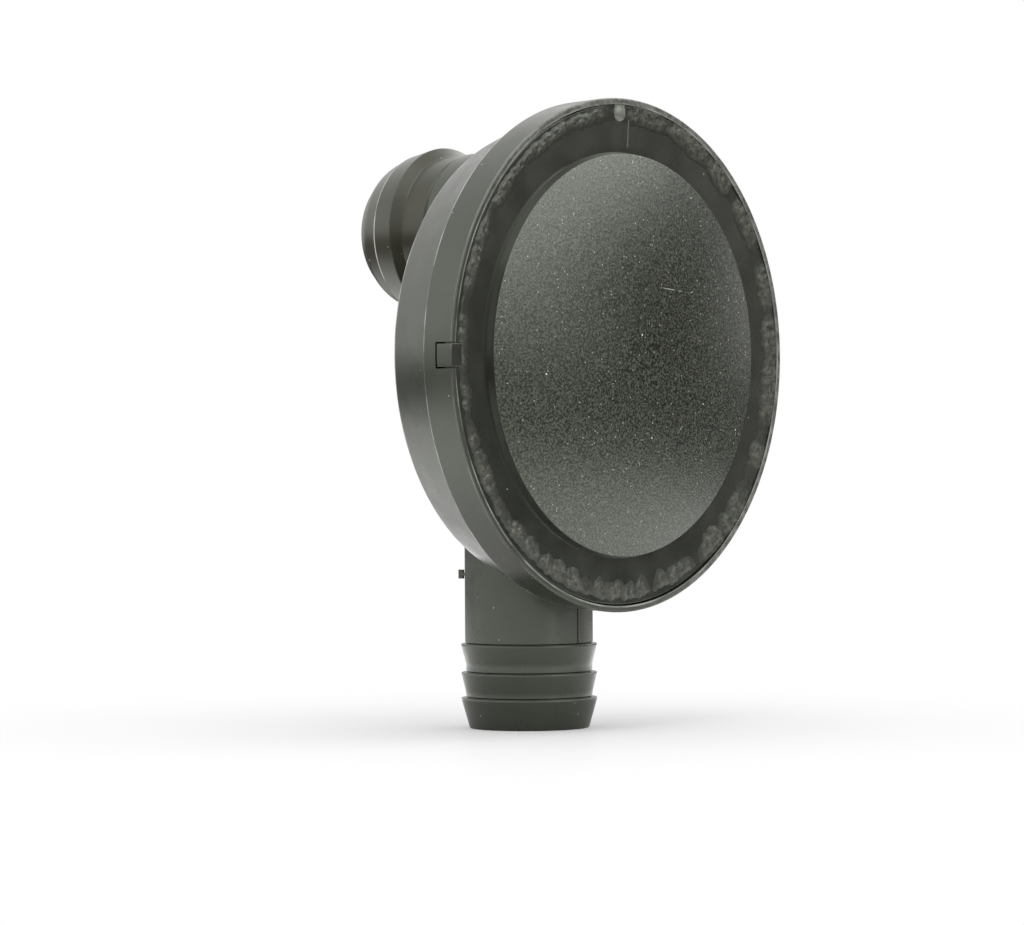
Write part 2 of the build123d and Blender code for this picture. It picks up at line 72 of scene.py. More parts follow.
# Places taken from the frame
housing_low, housing_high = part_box("valve_housing")
cover_low, cover_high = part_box("front_cover")
grommet_low, grommet_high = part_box("inlet_grommet")
diaphragm_low, diaphragm_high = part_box("diaphragm")
spring_low, spring_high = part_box("regulating_spring")
cup_low, cup_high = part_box("spring_cup")
plate_low, plate_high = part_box("support_plate")

RIM_RADIUS = 39.0 * MM
RIM_Y = housing_low[1]
DISC_HEIGHT = housing_high[2] - RIM_RADIUS
PORT_HEIGHT = (grommet_low[2] + grommet_high[2]) / 2
DISC_CENTRE = Vector((0, RIM_Y, DISC_HEIGHT))
GROMMET_FIT = 0.03 * MM
SHOULDER_Y = grommet_low[1] - GROMMET_FIT
PORT_CENTRE = Vector((0, SHOULDER_Y, PORT_HEIGHT))
END_CENTRE = Vector((0, 0, 0))

# Drum of the housing
BAND_DEPTH = 5.9 * MM
BAND_END_RADIUS = 38.66 * MM
CONE_START_RADIUS = 37.96 * MM
BACK_DEPTH = 15.4 * MM
BACK_RADIUS = 34.6 * MM
FLOOR_DEPTH = 13.2 * MM
FLOOR_RADIUS = 31.0 * MM
LIP_RADIUS = 38.0 * MM
LEDGE_DEPTH = 2.38 * MM
GROOVE_OUTER = 37.1 * MM
GROOVE_INNER = 34.9 * MM
GROOVE_FLOOR = 4.78 * MM
INNER_LIP_TOP = 4.28 * MM
CAVITY_RADIUS = 34.4 * MM

# Seat tube, elbow and spigot
SEAT_DEPTH = 7.68 * MM
SEAT_BORE_RADIUS = 6.6 * MM
SEAT_WALL = 2.0 * MM
SPIGOT_RADIUS = 9.85 * MM
SPIGOT_WALL = 2.25 * MM
SPIGOT_END_RADIUS = 9.2 * MM
SPIGOT_ROOT_RADIUS = 9.73 * MM
BARB_RADIUS = 10.45 * MM
BARB_TOPS = (4.7 * MM, 8.6 * MM, 13.0 * MM)
BARB_FLARE = 2.9 * MM
BARB_LAND = 0.25 * MM
BARB_DISH = 0.15 * MM
BARB_GROOVE = 0.18 * MM
SPRING_BORE_RADIUS = 5.6 * MM
PAD_RADIUS = 5.25 * MM
PIN_RADIUS = 4.15 * MM
PIN_HEIGHT = 2.0 * MM
SPRING_END_GAP = 0.02 * MM
LUG_HEIGHT = 23.4 * MM
LUG_REACH = 4.4 * MM
LUG_WIDTH = 0.5 * MM
LUG_HEAD_LENGTH = 0.8 * MM
LUG_HEAD_HEIGHT = 1.4 * MM
PARTING_WIDTH = 0.22 * MM
PARTING_DEPTH = 0.14 * MM

# Port
PORT_BOSS_RADIUS = 12.2 * MM
PORT_BOSS_FLARE = 1.0 * MM
PORT_BORE_RADIUS = 6.2 * MM
STUB_RADIUS = 8.0 * MM
STUB_LENGTH = 15.6 * MM
STUB_BEAD_PLACE = 9.5 * MM
STUB_BEAD_LENGTH = 1.6 * MM
STUB_BEAD_HEIGHT = 0.5 * MM
NECK_RADIUS = 11.9 * MM
NECK_LENGTH = 4.8 * MM
NECK_CHAMFER = 0.6 * MM
HEAD_RADIUS = 13.3 * MM
HEAD_SHOULDER = 1.4 * MM
HEAD_BAND_LENGTH = 4.0 * MM
HEAD_BAND_RADIUS = 12.4 * MM
NOSE_LENGTH = 5.9 * MM
NOSE_RADIUS = 9.0 * MM

# Cover
COVER_RADIUS = 37.85 * MM
FLANGE_RECESS = 0.35 * MM
FLANGE_BACK = 2.35 * MM
DOME_RADIUS = 30.5 * MM
DOME_EDGE = -0.8 * MM
DOME_STEP_RUN = 0.3 * MM
DOME_RISE = 3.4 * MM
DOME_WALL = 1.8 * MM
STOP_RING_RADIUS = 23.0 * MM
STOP_RING_WIDTH = 1.2 * MM
STOP_RING_END = 1.81 * MM
RIB_COUNT = 6
RIB_WIDTH = 1.2 * MM
RIB_INNER = 7.0 * MM
RIB_OUTER = 28.0 * MM
TAB_WIDTH = 3.4 * MM
TAB_DEPTH = 3.1 * MM
TAB_GAP = 0.25 * MM
TAB_ANGLE = 180.0
TAB_FACE_RADIUS = 36.7 * MM
PIP_WIDTH = 2.6 * MM
PIP_LENGTH = 2.6 * MM
PIP_DEPTH = 0.4 * MM  # from the rim plane back to the peg's axis
PIP_FLATNESS = 0.5
VENT_WIDTH = 1.2 * MM
VENT_HEIGHT = 0.7 * MM
VENT_ANGLE = 172.0
VENT_INNER_RADIUS = 30.8 * MM

FLOW_LINE_ANGLE = 86.6
FLOW_LINE_WIDTH = 0.16 * MM
FLOW_LINE_ENDS = (31.6 * MM, 37.2 * MM)

# Melted bead
BEAD_OUTER = 37.62 * MM
BEAD_INNER = 34.6 * MM
BEAD_HEIGHT = 0.33 * MM
BEAD_TURN_STEPS = 1080
BEAD_ROWS = 26

# Camera, as fitted to the photograph
IMAGE_WIDTH = 1024
FOCAL_PIXELS = 5000
SENSOR_WIDTH = 36.0
CAMERA_YAW = radians(-49.03)
CAMERA_PITCH = radians(0.79)
CAMERA_ROLL = radians(-0.39)
DISC_FROM_CAMERA = Vector((16.75, -16.25, 758.18)) * MM  # right, down and forward of it


# Mesh helpers
def mesh_object(name, vertices, faces):
    mesh = bpy.data.meshes.new(name)
    mesh.from_pydata(vertices, [], faces)
    mesh.update()
    made = bpy.data.objects.new(name, mesh)
    bpy.context.collection.objects.link(made)
    return made


def face_outward(made):
    work = bmesh.new()
    work.from_mesh(made.data)
    bmesh.ops.recalc_face_normals(work, faces=work.faces)
    work.to_mesh(made.data)
    work.free()
    return made


def rounded(points, steps=4):
    """A closed outline from (radius, along) or (radius, along, rounding) points."""
    done = []
    count = len(points)
    for index, point in enumerate(points):
        here = Vector(point[:2])
        if len(point) < 3:
            done.append(here)
            continue
        before = (Vector(points[index - 1][:2]) - here).normalized()
        after = (Vector(points[(index + 1) % count][:2]) - here).normalized()
        half = acos(max(-1.0, min(1.0, before.dot(after)))) / 2
        reach = point[2] / tan(half)
        middle = here + (before + after).normalized() * (point[2] / sin(half))
        start = here + before * reach - middle
        end = here + after * reach - middle
        sweep = start.angle(end)
        for step in range(steps + 1):
            share = step / steps
            arm = (start * sin((1 - share) * sweep) + end * sin(share * sweep)) / sin(sweep)
            done.append(middle + arm)
    return done


def lathe(name, outline, centre, upright=False, steps=TURN_STEPS):
    """Turn a closed outline about the axis through centre, to +Y or, if upright, to +Z."""
    vertices = []
    starts = []
    for radius, along in outline:
        starts.append(len(vertices))
        turns = steps if radius > 1e-7 else 1
        for turn in range(turns):
            angle = 2 * pi * turn / steps
            across, other = radius * cos(angle), radius * sin(angle)
            spot = (across, other, along) if upright else (across, along, other)
            vertices.append(centre + Vector(spot))
    faces = []
    count = len(outline)
    for index in range(count):
        here, there = index, (index + 1) % count
        single_here = outline[here][0] <= 1e-7
        single_there = outline[there][0] <= 1e-7
        if single_here and single_there:
            continue
        for turn in range(steps):
            next_turn = (turn + 1) % steps
            a, b = starts[here] + turn, starts[here] + next_turn
            c, d = starts[there] + next_turn, starts[there] + turn
            if single_here:
                faces.append((starts[here], c, d))
            elif single_there:
                faces.append((a, b, starts[there]))
            else:
                faces.append((a, b, c, d))
    return face_outward(mesh_object(name, vertices, faces))


def box(name, low, high):
    corners = [(x, y, z) for x in (low[0], high[0]) for y in (low[1], high[1]) for z in (low[2], high[2])]
    sides = [(0, 1, 3, 2), (4, 6, 7, 5), (0, 4, 5, 1), (2, 3, 7, 6), (0, 2, 6, 4), (1, 5, 7, 3)]
    return face_outward(mesh_object(name, corners, sides))


def disc_point(radius, depth, angle):
    """A point by its distance from the disc's axis, its depth behind the rim and its turn."""
    return DISC_CENTRE + Vector((radius * cos(angle), depth, radius * sin(angle)))


def on_disc(made, angle):
    """Turn a mesh drawn about the disc's axis, on +X, to its clock angle, 90 at the top."""
    turn = Matrix.Rotation(radians(-angle), 4, "Y")
    made.data.transform(Matrix.Translation((0, 0, DISC_HEIGHT)) @ turn)
    return made


def radial_bar(name, inner, outer, width, front, back, angle):
    half = width / 2
    return on_disc(box(name, (inner, RIM_Y + front, -half), (outer, RIM_Y + back, half)), angle)


def rod(name, radius, start_y, end_y, height):
    outline = [(0, start_y), (radius, start_y), (radius, end_y), (0, end_y)]
    return lathe(name, outline, Vector((0, 0, height)))


def combine(target, operation, *tools):
    """Join or cut the target with the tools, and delete them."""
    for tool in tools:
        change = target.modifiers.new("shape", "BOOLEAN")
        change.operation = operation
        change.solver = "EXACT"
        change.object = tool
        apply_modifiers(target)
        bpy.data.objects.remove(tool, do_unlink=True)
    return target


def apply_modifiers(made):
    bpy.context.view_layer.update()
    graph = bpy.context.evaluated_depsgraph_get()
    mesh = bpy.data.meshes.new_from_object(made.evaluated_get(graph))
    made.modifiers.clear()
    old = made.data
    made.data = mesh
    bpy.data.meshes.remove(old)
    mesh.name = made.name
    return made


def soften_edges(made, width, angle=50):
    bevel = made.modifiers.new("edges", "BEVEL")
    bevel.width = width
    bevel.segments = 2
    bevel.limit_method = "ANGLE"
    bevel.angle_limit = radians(angle)
    return apply_modifiers(made)


def smooth(made, angle=32):
    mesh = made.data
    mesh.shade_smooth()
    mesh.set_sharp_from_angle(angle=radians(angle))
    weighted = made.modifiers.new("normals", "WEIGHTED_NORMAL")
    weighted.keep_sharp = True
    return made


def flatten_strips(made):
    """Let long narrow faces keep their own normal, so that no shading error runs along them."""
    mesh = made.data
    for polygon in mesh.polygons:
        corners = [mesh.vertices[index].co for index in polygon.vertices]
        sides = [(corner - corners[index - 1]).length for index, corner in enumerate(corners)]
        if max(sides) > STRIP_RATIO * min(sides):
            polygon.use_smooth = False
    return made


def finish_piece(made, body, slot, *nodes):
    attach(made, body)
    if nodes:
        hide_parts(*nodes)
    return made


# Materials
GLOSS_TINT = (0.95, 1.0, 0.88)
PLASTIC_GLOSS = 0.75
# Width of the thin edge rings, which are partly rubbed edges and partly painted highlight
WEAR_AND_HIGHLIGHT_WIDTH = 0.26 * MM


class Nodes:
    """Short calls for building a material's nodes."""

    def __init__(self, name, color, roughness):
        self.material = bpy.data.materials.new(name)
        self.material.use_nodes = True
        self.tree = self.material.node_tree
        self.shader = self.tree.nodes["Principled BSDF"]
        self.shader.inputs["Base Color"].default_value = (*color, 1)
        self.shader.inputs["Roughness"].default_value = roughness
        self.shader.inputs["Specular Tint"].default_value = (*GLOSS_TINT, 1)
        self.place = self.add("ShaderNodeTexCoord").outputs["Object"]

    def add(self, kind, **settings):
        node = self.tree.nodes.new(kind)
        for key, value in settings.items():
            setattr(node, key, value)
        return node

    def link(self, source, target):
        self.tree.links.new(source, target)

    def noise(self, grain, detail=2.0, rough=0.5):
        """Noise whose lumps are about grain metres across."""
        node = self.add("ShaderNodeTexNoise")
        node.inputs["Scale"].default_value = 0.5 / grain
        node.inputs["Detail"].default_value = detail
        node.inputs["Roughness"].default_value = rough
        self.link(self.place, node.inputs["Vector"])
        return node.outputs["Fac"]

    def ramp(self, source, low, high, low_value=0.0, high_value=1.0):
        node = self.add("ShaderNodeMapRange", clamp=True)
        node.inputs["From Min"].default_value = low
        node.inputs["From Max"].default_value = high
        node.inputs["To Min"].default_value = low_value
        node.inputs["To Max"].default_value = high_value
        self.link(source, node.inputs["Value"])
        return node.outputs["Result"]

    def calc(self, operation, one, two):
        node = self.add("ShaderNodeMath", operation=operation)
        for socket, value in zip(node.inputs, (one, two)):
            if isinstance(value, (int, float)):
                socket.default_value = value
            else:
                self.link(value, socket)
        return node.outputs[0]

    def mix(self, share, one, two):
        node = self.add("ShaderNodeMix", data_type="RGBA")
        for socket, value in ((node.inputs[0], share), (node.inputs[6], one), (node.inputs[7], two)):
            if isinstance(value, tuple):
                socket.default_value = (*value, 1)
            else:
                self.link(value, socket)
        return node.outputs[2]

    def specks(self, spacing, size, share):
        """Small round spots, on a share of cells about spacing metres apart."""
        cells = self.add("ShaderNodeTexVoronoi")
        cells.inputs["Scale"].default_value = 1 / spacing
        self.link(self.place, cells.inputs["Vector"])
        near = self.ramp(cells.outputs["Distance"], size / spacing, size / spacing * 0.6)
        split = self.add("ShaderNodeSeparateColor")
        self.link(cells.outputs["Color"], split.inputs[0])
        chosen = self.ramp(split.outputs[0], 1 - share, 1 - share + 0.001)
        return self.calc("MULTIPLY", near, chosen)

    def rings(self, centre, places):
        """Uneven thin rings about an axis along Y, partly rubbed edges and partly painted highlight, each as
        (place along Y, radius, its spread, share).
        """
        split = self.add("ShaderNodeSeparateXYZ")
        self.link(self.place, split.inputs[0])
        height = self.calc("SUBTRACT", split.outputs[2], centre.z)
        squares = self.calc(
            "ADD", self.calc("POWER", split.outputs[0], 2), self.calc("MULTIPLY", height, height)
        )
        radius = self.calc("SQRT", squares, 0)
        total = 0.0
        for along, ring_radius, spread, share in places:
            near = self.band(split.outputs[1], along, WEAR_AND_HIGHLIGHT_WIDTH)
            level = self.band(radius, ring_radius, spread)
            ring = self.calc("MULTIPLY", self.calc("MULTIPLY", near, level), share)
            total = self.calc("MAXIMUM", ring, total)
        patchiness = self.ramp(self.noise(3 * MM, 4.0), 0.4, 0.62, 0.1, 1.0)
        return self.calc("MULTIPLY", total, patchiness)

    def band(self, source, middle, width):
        away = self.calc("ABSOLUTE", self.calc("SUBTRACT", source, middle), 0)
        return self.ramp(away, width * 0.5, width * 0.25)

    def scratch(self, middle, length, width, tilt):
        """A short scratch in the plane of the disc."""
        turned = self.add("ShaderNodeMapping", vector_type="TEXTURE")
        turned.inputs["Location"].default_value = middle
        turned.inputs["Rotation"].default_value = (0, tilt, 0)
        turned.inputs["Scale"].default_value = (length / 2, 1, width / 2)
        self.link(self.place, turned.inputs["Vector"])
        away = self.add("ShaderNodeVectorMath", operation="LENGTH")
        self.link(turned.outputs["Vector"], away.inputs[0])
        inside = self.ramp(away.outputs["Value"], 1.0, 0.5)
        return self.calc("MULTIPLY", inside, self.ramp(self.noise(0.5 * MM), 0.4, 0.6, 0.0, 0.45))

    def bump(self, height, distance, strength=1.0):
        node = self.add("ShaderNodeBump")
        node.inputs["Distance"].default_value = distance
        node.inputs["Strength"].default_value = strength
        self.link(height, node.inputs["Height"])
        self.link(node.outputs["Normal"], self.shader.inputs["Normal"])

    def color(self, source):
        self.link(source, self.shader.inputs["Base Color"])

    def roughness(self, source):
        self.link(source, self.shader.inputs["Roughness"])


def moulded_plastic(name, color, roughness, dust=0.03, wear_and_highlights=None, painted_light_tint=None):
    """Satin moulded plastic with clouding, fine grain and dust; edge rings, partly rubbed and partly painted
    highlight; melted blotches on the rim with painted sheen; or painted light on one side.
    """
    nodes = Nodes(name, color, roughness)
    cloud = nodes.ramp(nodes.noise(6 * MM, 3.0), 0.3, 0.7)
    darker = tuple(channel * 0.86 for channel in color)
    body = nodes.mix(cloud, darker, color)
    if painted_light_tint:
        # Painted light: the side towards the upper right is painted lighter, in patches
        aside = nodes.add("ShaderNodeVectorMath", operation="DOT_PRODUCT")
        aside.inputs[1].default_value = (0.6, 0, 0.8)
        nodes.link(nodes.place, aside.inputs[0])
        middle = 0.8 * DISC_HEIGHT
        patchy = nodes.ramp(nodes.noise(5 * MM, 3.0), 0.3, 0.7, 0.6, 1.0)
        share = nodes.ramp(aside.outputs["Value"], middle - RIM_RADIUS, middle + 0.8 * RIM_RADIUS)
        body = nodes.mix(nodes.calc("MULTIPLY", share, patchy), body, painted_light_tint)
    spots = nodes.specks(1.2 * MM, 0.1 * MM, dust)
    if wear_and_highlights:
        # Edge rings, partly rubbed and partly painted highlight
        spots = nodes.calc("MAXIMUM", spots, nodes.rings(*wear_and_highlights))
        # Melted blotches painted lighter on the rim's front, on its top and right sides: partly melted
        # plastic, partly painted sheen
        split = nodes.add("ShaderNodeSeparateXYZ")
        nodes.link(nodes.place, split.inputs[0])
        right_side = nodes.ramp(split.outputs[0], 2 * MM, 24 * MM)
        top_side = nodes.ramp(split.outputs[2], DISC_HEIGHT + 20 * MM, DISC_HEIGHT + 33 * MM)
        top_side = nodes.calc("MAXIMUM", top_side, right_side)
        front = nodes.ramp(split.outputs[1], RIM_Y + 0.12 * MM, RIM_Y + 0.04 * MM)
        melted = nodes.ramp(nodes.noise(0.8 * MM, 4.0, 0.6), 0.35, 0.68, 0.04, 0.24)
        melt_and_sheen = nodes.calc("MULTIPLY", nodes.calc("MULTIPLY", top_side, front), melted)
        spots = nodes.calc("MAXIMUM", spots, melt_and_sheen)
    nodes.color(nodes.mix(spots, body, (0.55, 0.55, 0.52)))
    nodes.shader.inputs["Specular IOR Level"].default_value = PLASTIC_GLOSS
    nodes.roughness(nodes.ramp(nodes.noise(2.5 * MM, 3.0), 0.3, 0.7, roughness - 0.05, roughness + 0.06))
    nodes.bump(nodes.noise(0.25 * MM, 2.0), 0.004 * MM)
    return nodes.material


def spark_plastic(name, color, roughness):
    """Coarse eroded texture of the dome: its grain in strong light and dark tones, partly real grain and
    partly painted glints, with painted glint specks, a few white dust specks and scratches.
    """
    nodes = Nodes(name, color, roughness)
    grain = nodes.noise(0.17 * MM, 2.0, 0.75)
    height = nodes.ramp(grain, 0.36, 0.64)
    # Lighter and darker copies of the colour across the grain: partly real grain, partly painted glints
    light = tuple(channel * 3.0 for channel in color)
    dark = tuple(channel * 0.12 for channel in color)
    body = nodes.mix(nodes.ramp(grain, 0.43, 0.6), dark, light)
    # Painted glints: small pale specks
    glints = nodes.specks(0.5 * MM, 0.13 * MM, 0.08)
    glinted = nodes.mix(glints, body, (0.26, 0.265, 0.25))
    spots = nodes.specks(2.6 * MM, 0.17 * MM, 0.12)
    for place, length, tilt in SCRATCHES:
        spots = nodes.calc("MAXIMUM", spots, nodes.scratch(place, length, 0.22 * MM, tilt))
    nodes.color(nodes.mix(spots, glinted, (0.6, 0.6, 0.58)))
    nodes.shader.inputs["Specular IOR Level"].default_value = PLASTIC_GLOSS
    nodes.bump(height, 0.01 * MM)
    return nodes.material


def melted_plastic(name, color, roughness):
    """Melted and crinkled plastic, painted lighter in blotches on its raised tops as painted highlight."""
    nodes = Nodes(name, color, roughness)
    split = nodes.add("ShaderNodeSeparateXYZ")
    nodes.link(nodes.place, split.inputs[0])
    # Painted highlight: the bead's raised tops are painted up to 6.5 times lighter, in blotches
    risen = nodes.ramp(split.outputs[1], RIM_Y + 0.3 * MM, RIM_Y + 0.08 * MM)
    blotch = nodes.ramp(nodes.noise(0.5 * MM, 4.0, 0.65), 0.4, 0.66, 0.05, 1.0)
    light = tuple(channel * 6.5 for channel in color)
    nodes.color(nodes.mix(nodes.calc("MULTIPLY", risen, blotch), color, light))
    nodes.bump(nodes.noise(0.4 * MM, 3.0), 0.07 * MM)
    return nodes.material


def rubber(name, color, roughness, dust=0.05, wear_and_highlights=None):
    """Matt rubber with a faint bloom and dust."""
    nodes = Nodes(name, color, roughness)
    bloom = nodes.ramp(nodes.noise(3.0 * MM, 4.0), 0.3, 0.75)
    pale = tuple(channel * 1.35 for channel in color)
    body = nodes.mix(bloom, color, pale)
    spots = nodes.specks(1.3 * MM, 0.13 * MM, dust)
    if wear_and_highlights:
        # Ring line, partly rubbed and partly painted highlight
        spots = nodes.calc("MAXIMUM", spots, nodes.rings(*wear_and_highlights))
    nodes.color(nodes.mix(spots, body, (0.6, 0.58, 0.53)))
    nodes.bump(nodes.noise(0.3 * MM, 2.0), 0.006 * MM)
    return nodes.material


def metal(name, color, roughness):
    nodes = Nodes(name, color, roughness)
    nodes.shader.inputs["Metallic"].default_value = 1.0
    nodes.roughness(nodes.ramp(nodes.noise(0.8 * MM, 3.0), 0.3, 0.7, roughness - 0.08, roughness + 0.1))
    nodes.bump(nodes.noise(0.2 * MM, 2.0), 0.003 * MM)
    return nodes.material


def paint(made, *materials):
    made.data.materials.clear()
    for material in materials:
        made.data.materials.append(material)
    return made


SCRATCHES = (
    (DISC_CENTRE + Vector((8.3 * MM, 0, 9.9 * MM)), 8 * MM, radians(6)),
    (DISC_CENTRE + Vector((12.5 * MM, 0, 9.6 * MM)), 3 * MM, radians(-10)),
    (DISC_CENTRE + Vector((9.5 * MM, 0, -11.5 * MM)), 2.5 * MM, radians(-50)),
)
# Rings on the housing's rim, lip, band step and back edge: partly rubbed, partly painted highlight
housing_wear_and_highlights = (
    DISC_CENTRE,
    (
        (RIM_Y + 0.2 * MM, RIM_RADIUS, MM, 0.15),
        (RIM_Y, LIP_RADIUS + 0.16 * MM, 0.3 * MM, 0.35),
        (RIM_Y + BAND_DEPTH - 0.14 * MM, BAND_END_RADIUS, MM, 0.6),
        (RIM_Y + BACK_DEPTH - 0.3 * MM, BACK_RADIUS, MM, 0.6),
    ),
)
ring_place = SHOULDER_Y + GROMMET_FIT + NECK_LENGTH + HEAD_SHOULDER + HEAD_BAND_LENGTH
# Ring line on the grommet's head: partly rubbed, partly painted highlight
grommet_wear_and_highlight = (PORT_CENTRE, ((ring_place, HEAD_BAND_RADIUS, MM, 0.75),))
housing_plastic = moulded_plastic("housing_plastic", (0.019, 0.0207, 0.015), 0.29, 0.12, housing_wear_and_highlights)
# Pip and flow line: painted about ten times lighter than the cover, as painted highlight
painted_highlight_plastic = moulded_plastic("painted_highlight_plastic", (0.11, 0.115, 0.1), 0.3, 0.1)
# Cover plastic with painted light: lighter towards its upper right
cover_plastic = moulded_plastic(
    "cover_plastic", (0.0095, 0.0105, 0.008), 0.19, 0.04, painted_light_tint=(0.036, 0.0365, 0.031)
)
dome_plastic = spark_plastic("dome_plastic", (0.0165, 0.018, 0.0135), 0.22)
bead_plastic = melted_plastic("bead_plastic", (0.0115, 0.012, 0.0095), 0.36)
grommet_rubber = rubber("grommet_rubber", (0.019, 0.0175, 0.0115), 0.3, 0.14, grommet_wear_and_highlight)
diaphragm_rubber = rubber("diaphragm_rubber", (0.02, 0.02, 0.022), 0.55, 0.0)
plate_plastic = moulded_plastic("plate_plastic", (0.5, 0.48, 0.42), 0.4, 0.0)
spring_steel = metal("spring_steel", (0.55, 0.55, 0.57), 0.28)
cup_steel = metal("cup_steel", (0.6, 0.6, 0.61), 0.35)
rivet_brass = metal("rivet_brass", (0.72, 0.5, 0.2), 0.3)


# Housing
def drum():
    outline = rounded(
        [
            (RIM_RADIUS, 0, 0.22 * MM),
            (BAND_END_RADIUS, BAND_DEPTH, 0.15 * MM),
            (CONE_START_RADIUS, BAND_DEPTH, 0.08 * MM),
            (BACK_RADIUS, BACK_DEPTH, 0.45 * MM),
            (0, BACK_DEPTH),
            (0, FLOOR_DEPTH),
            (FLOOR_RADIUS, FLOOR_DEPTH, 1.2 * MM),
            (CAVITY_RADIUS, GROOVE_FLOOR),
            (CAVITY_RADIUS, INNER_LIP_TOP),
            (GROOVE_INNER, INNER_LIP_TOP),
            (GROOVE_INNER, GROOVE_FLOOR),
            (GROOVE_OUTER, GROOVE_FLOOR),
            (GROOVE_OUTER, LEDGE_DEPTH),
            (LIP_RADIUS, LEDGE_DEPTH),
            (LIP_RADIUS, 0, 0.12 * MM),
        ]
    )
    return lathe("housing", outline, DISC_CENTRE)


def seat_tube():
    outside = SEAT_BORE_RADIUS + SEAT_WALL
    middle_depth = (FLOOR_DEPTH + BACK_DEPTH) / 2
    outline = [(0, SEAT_DEPTH), (outside, SEAT_DEPTH, 0.5 * MM), (outside, middle_depth), (0, middle_depth)]
    return lathe("seat", rounded(outline), DISC_CENTRE)


def spigot():
    edge = 0.06 * MM
    points = [(0, 0), (SPIGOT_END_RADIUS, 0, 0.3 * MM)]
    for top in BARB_TOPS:
        crest = top - BARB_LAND
        root = SPIGOT_RADIUS if top == BARB_TOPS[-1] else SPIGOT_ROOT_RADIUS
        if top > BARB_TOPS[0]:
            points.append((SPIGOT_ROOT_RADIUS, crest - BARB_FLARE, 3.5 * MM))
        points += [(BARB_RADIUS, crest, edge), (BARB_RADIUS, top, edge)]
        points += [(root - BARB_GROOVE, top - BARB_DISH), (root - BARB_GROOVE, top + 0.5 * BARB_GROOVE)]
        points.append((root, top + 1.5 * BARB_GROOVE))
    tube_top = DISC_HEIGHT + SEAT_BORE_RADIUS + SPIGOT_WALL
    points += [(SPIGOT_RADIUS, tube_top, 1.5 * MM), (0, tube_top)]
    return lathe("spigot", rounded(points), END_CENTRE, upright=True)


def port():
    """Boss with its flare and the stub inside the grommet."""
    wall = (FLOOR_DEPTH + BACK_DEPTH) / 2 + RIM_Y - SHOULDER_Y
    back = BACK_DEPTH + RIM_Y - SHOULDER_Y
    bead_end = STUB_BEAD_PLACE + STUB_BEAD_LENGTH
    outline = [
        (0, wall),
        (PORT_BOSS_RADIUS + PORT_BOSS_FLARE, wall),
        (PORT_BOSS_RADIUS + PORT_BOSS_FLARE, back),
        (PORT_BOSS_RADIUS, back + PORT_BOSS_FLARE, 2 * MM),
        (PORT_BOSS_RADIUS, 0, 0.3 * MM),
        (STUB_RADIUS, 0),
        (STUB_RADIUS, STUB_BEAD_PLACE),
        (STUB_RADIUS + STUB_BEAD_HEIGHT, STUB_BEAD_PLACE),
        (STUB_RADIUS, bead_end),
        (STUB_RADIUS, STUB_LENGTH, 0.4 * MM),
        (0, STUB_LENGTH),
    ]
    return lathe("port", rounded(outline), PORT_CENTRE)


def lug():
    half = LUG_WIDTH / 2
    tip = SPIGOT_RADIUS + LUG_REACH
    web_low = (-half, SPIGOT_RADIUS - 0.5 * MM, LUG_HEIGHT - half)
    web = box("web", web_low, (half, tip - half, LUG_HEIGHT + half))
    head_half = LUG_HEAD_HEIGHT / 2
    head_low = (-half, tip - LUG_HEAD_LENGTH, LUG_HEIGHT - head_half)
    head = box("head", head_low, (half, tip, LUG_HEIGHT + head_half))
    return combine(web, "UNION", head)


def housing():
    made = combine(drum(), "UNION", spigot(), seat_tube(), port(), lug())
    bore_top = DISC_HEIGHT + SEAT_BORE_RADIUS
    bore_radius = SPIGOT_RADIUS - SPIGOT_WALL
    mouth = bore_radius + 0.5 * MM
    bore_outline = [
        (0, -MM),
        (mouth, -MM),
        (mouth, 0),
        (bore_radius, 0.5 * MM),
        (bore_radius, bore_top),
        (0, bore_top),
    ]
    bore = lathe("bore", bore_outline, END_CENTRE, upright=True)
    pad_y = spring_high[1] + SPRING_END_GAP
    seat_bore = rod("seat_bore", SEAT_BORE_RADIUS, RIM_Y, 0, DISC_HEIGHT)
    spring_bore = rod("spring_bore", SPRING_BORE_RADIUS, RIM_Y, pad_y, DISC_HEIGHT)
    port_bore = rod("port_bore", PORT_BORE_RADIUS, RIM_Y, SHOULDER_Y + 2 * STUB_LENGTH, PORT_HEIGHT)
    slot_width = TAB_WIDTH + 2 * TAB_GAP
    slot = radial_bar("slot", GROOVE_OUTER, RIM_RADIUS + MM, slot_width, -MM, TAB_DEPTH + TAB_GAP, TAB_ANGLE)
    half_line = PARTING_WIDTH / 2
    line_y = -SPIGOT_RADIUS
    line_low = (-half_line, line_y - MM, BARB_TOPS[-1])
    line = box("line", line_low, (half_line, line_y + PARTING_DEPTH, 2 * BARB_TOPS[-1]))
    combine(made, "DIFFERENCE", bore, seat_bore, spring_bore, port_bore, slot, line)
    wall_y = bore_radius + SPIGOT_WALL / 2
    pad = rod("pad", PAD_RADIUS, pad_y, wall_y, DISC_HEIGHT)
    pin = rod("pin", PIN_RADIUS, pad_y - PIN_HEIGHT, wall_y, DISC_HEIGHT)
    combine(made, "UNION", pad, pin)
    return made


# Cover
def dome_depth(radius, edge_radius, edge_depth):
    ball = (edge_radius**2 + DOME_RISE**2) / (2 * DOME_RISE)
    return edge_depth - (sqrt(ball**2 - radius**2) - (ball - DOME_RISE))


def dome_row(edge_radius, edge_depth, radii):
    return [(radius, dome_depth(radius, edge_radius, edge_depth)) for radius in radii]


